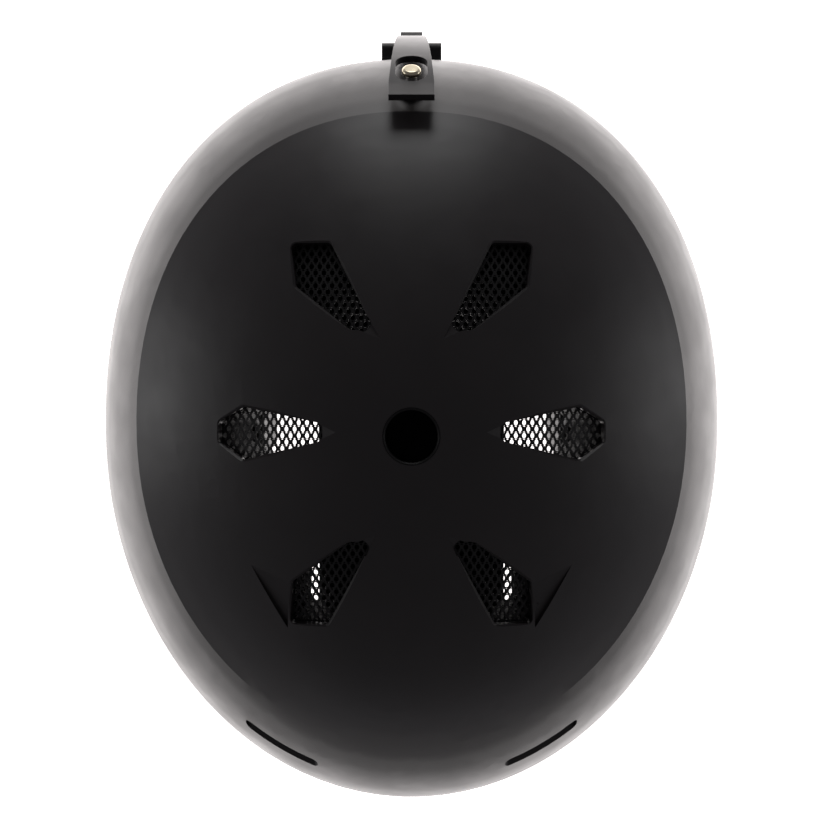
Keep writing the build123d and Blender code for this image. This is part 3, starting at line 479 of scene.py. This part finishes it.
def prepare_pad(name):
    """A closed, evenly meshed and slightly shrunk copy of a pad's CAD solid."""
    piece = new_piece("padded_" + name, merged(name), pad_knit, [name], node_body[name])
    remesh = piece.modifiers.new("even_mesh", "REMESH")
    remesh.mode = "VOXEL"
    remesh.voxel_size = 2.2 * MM if "ear" in name or "chin" in name else 2.6 * MM
    apply_modifiers(piece)
    shape = bmesh.new()
    shape.from_mesh(piece.data)
    for _ in range(4):
        bmesh.ops.smooth_vert(
            shape, verts=shape.verts, factor=0.5, use_axis_x=True, use_axis_y=True, use_axis_z=True
        )
    shape.normal_update()
    for vert in shape.verts:
        vert.co -= vert.normal * SHRINK
    shape.to_mesh(piece.data)
    shape.free()
    return piece


def apply_modifiers(piece):
    """Keeps the evaluated mesh and drops the modifiers."""
    bpy.context.view_layer.update()
    graph = bpy.context.evaluated_depsgraph_get()
    result = bpy.data.meshes.new_from_object(piece.evaluated_get(graph))
    old = piece.data
    piece.modifiers.clear()
    piece.data = result
    bpy.data.meshes.remove(old)


def inflate(pieces):
    """One cloth run for all the pads, with each point's travel capped."""
    starts = {}
    for piece in pieces:
        starts[piece.name] = [v.co.copy() for v in piece.data.vertices]
        cloth = piece.modifiers.new("cloth", "CLOTH")
        cloth.settings.use_pressure = True
        cloth.settings.uniform_pressure_force = 2.5
        cloth.settings.effector_weights.gravity = 0
        cloth.settings.quality = 4
        cloth.collision_settings.use_collision = False
    scene = bpy.context.scene
    for step in range(1, SWELL_FRAMES + 1):
        scene.frame_set(step)
    for piece in pieces:
        apply_modifiers(piece)
        for vert, start in zip(piece.data.vertices, starts[piece.name]):
            move = vert.co - start
            if move.length > SWELL_LIMIT:
                vert.co = start + move.normalized() * SWELL_LIMIT
    scene.frame_set(1)


pad_pieces = [prepare_pad(name) for name in PADS]
inflate(pad_pieces)
for piece in pad_pieces:
    for polygon in piece.data.polygons:
        polygon.use_smooth = True
    finer = piece.modifiers.new("finer", "SUBSURF")
    finer.levels = 1
    finer.render_levels = 1

# %% [markdown]
# A sewn edge is bound with a welt: a thin cord in a strip of cloth. On an ear pad it runs once round
# each face, so it is a closed curve bevelled to a small radius and turned into a mesh.

# %% Welts round the ear pads
EAR_LEAN = radians(13.6)
EAR_TOP = Vector((98.0, 8.0, -27.5)) * MM
EAR_MIDDLE = 34 * MM
WELT_WIDTH = 80 * MM
WELT_HEIGHT = 66 * MM
WELT_CORNER = 21 * MM
WELT_RADIUS = 1.1 * MM
WELT_DEPTHS = {"outer": 3.2 * MM, "inner": 12.4 * MM}


def ear_point(side, along, down, depth):
    """A point on an ear pad's leaning plane: along Y, down from the top, and inwards by depth."""
    top = Vector((side * EAR_TOP.x, EAR_TOP.y, EAR_TOP.z))
    down_way = Vector((-side * sin(EAR_LEAN), 0, -cos(EAR_LEAN)))
    inward = Vector((-side * cos(EAR_LEAN), 0, sin(EAR_LEAN)))
    return top + Vector((0, along, 0)) + down_way * down + inward * depth


def round_rectangle(width, height, radius, count=10):
    """Points round a rectangle with arc corners, as (along, down)."""
    points = []
    corners = [(1, 1, 0), (-1, 1, 90), (-1, -1, 180), (1, -1, 270)]
    for sx, sy, start in corners:
        for i in range(count + 1):
            angle = radians(start + 90 * i / count)
            points.append((sx * (width / 2 - radius) + radius * cos(angle),
                           sy * (height / 2 - radius) + radius * sin(angle)))
    return points


def tube(name, points, radius, material, closed=True, body="helmet"):
    """A round cord along points, as a mesh."""
    curve = bpy.data.curves.new(name, "CURVE")
    curve.dimensions = "3D"
    curve.bevel_depth = radius
    curve.bevel_resolution = 3
    line = curve.splines.new("POLY")
    line.points.add(len(points) - 1)
    for place, point in zip(line.points, points):
        place.co = (*point, 1)
    line.use_cyclic_u = closed
    holder = bpy.data.objects.new(name, curve)
    bpy.context.scene.collection.objects.link(holder)
    bpy.context.view_layer.update()
    data = bpy.data.meshes.new_from_object(holder.evaluated_get(bpy.context.evaluated_depsgraph_get()))
    bpy.data.objects.remove(holder)
    shape = bmesh.new()
    shape.from_mesh(data)
    for face in shape.faces:
        face.smooth = True
    return new_piece(name, shape, material, (), body)


for side, word in ((LEFT, "left"), (RIGHT, "right")):
    rim = round_rectangle(WELT_WIDTH, WELT_HEIGHT, WELT_CORNER)
    for place, depth in WELT_DEPTHS.items():
        points = [ear_point(side, along, down + EAR_MIDDLE, depth) for along, down in rim]
        tube(f"ear_welt_{place}_{word}", points, WELT_RADIUS, pad_knit)

# %% [markdown]
# ## Webbing
# Webbing is woven flat and stiff across its width. A remesh would swallow it, so each strap is the CAD
# strip with its edges rolled by a small bevel.

# %% Straps
for name, slot_name in node_slot.items():
    if slot_name == "webbing" and name != "lower_strap_left":
        smooth_part(name, 40, 0.3 * MM)

# %% [markdown]
# The left lower strap ties the buckle's plug to the slider. When the plug is pulled out the strap has
# to bow, so it is one ribbon from slider to plug, cut across often enough to bend.

# %% The strap that bends
male_low, male_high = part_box("buckle_male")
strap_shape = merged("lower_strap_left")
slider_low, slider_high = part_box("strap_slider_left")
STRAP_CUTS = 18
for i in range(1, STRAP_CUTS):
    x = male_high.x + (slider_high.x - male_high.x) * i / STRAP_CUTS
    everything = strap_shape.verts[:] + strap_shape.edges[:] + strap_shape.faces[:]
    bmesh.ops.bisect_plane(strap_shape, geom=everything, plane_co=(x, 0, 0), plane_no=(1, 0, 0))
    z = male_high.z + (slider_high.z - male_high.z) * i / STRAP_CUTS
    everything = strap_shape.verts[:] + strap_shape.edges[:] + strap_shape.faces[:]
    bmesh.ops.bisect_plane(strap_shape, geom=everything, plane_co=(0, 0, z), plane_no=(0, 0, 1))
# The CAD strip stops short of the slider, so its top end is drawn on along the strap into it.
STRAP_END = 4.5 * MM
INTO_SLIDER = Vector((0, 0.623, 0.782)) * 12.5 * MM
strap_top = max(v.co.z for v in strap_shape.verts)
for vert in strap_shape.verts:
    if vert.co.z > strap_top - STRAP_END:
        vert.co += INTO_SLIDER
bent_strap = new_piece(
    "bending_strap", strap_shape, strap_polyester, ["lower_strap_left"], None
)
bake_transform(bent_strap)
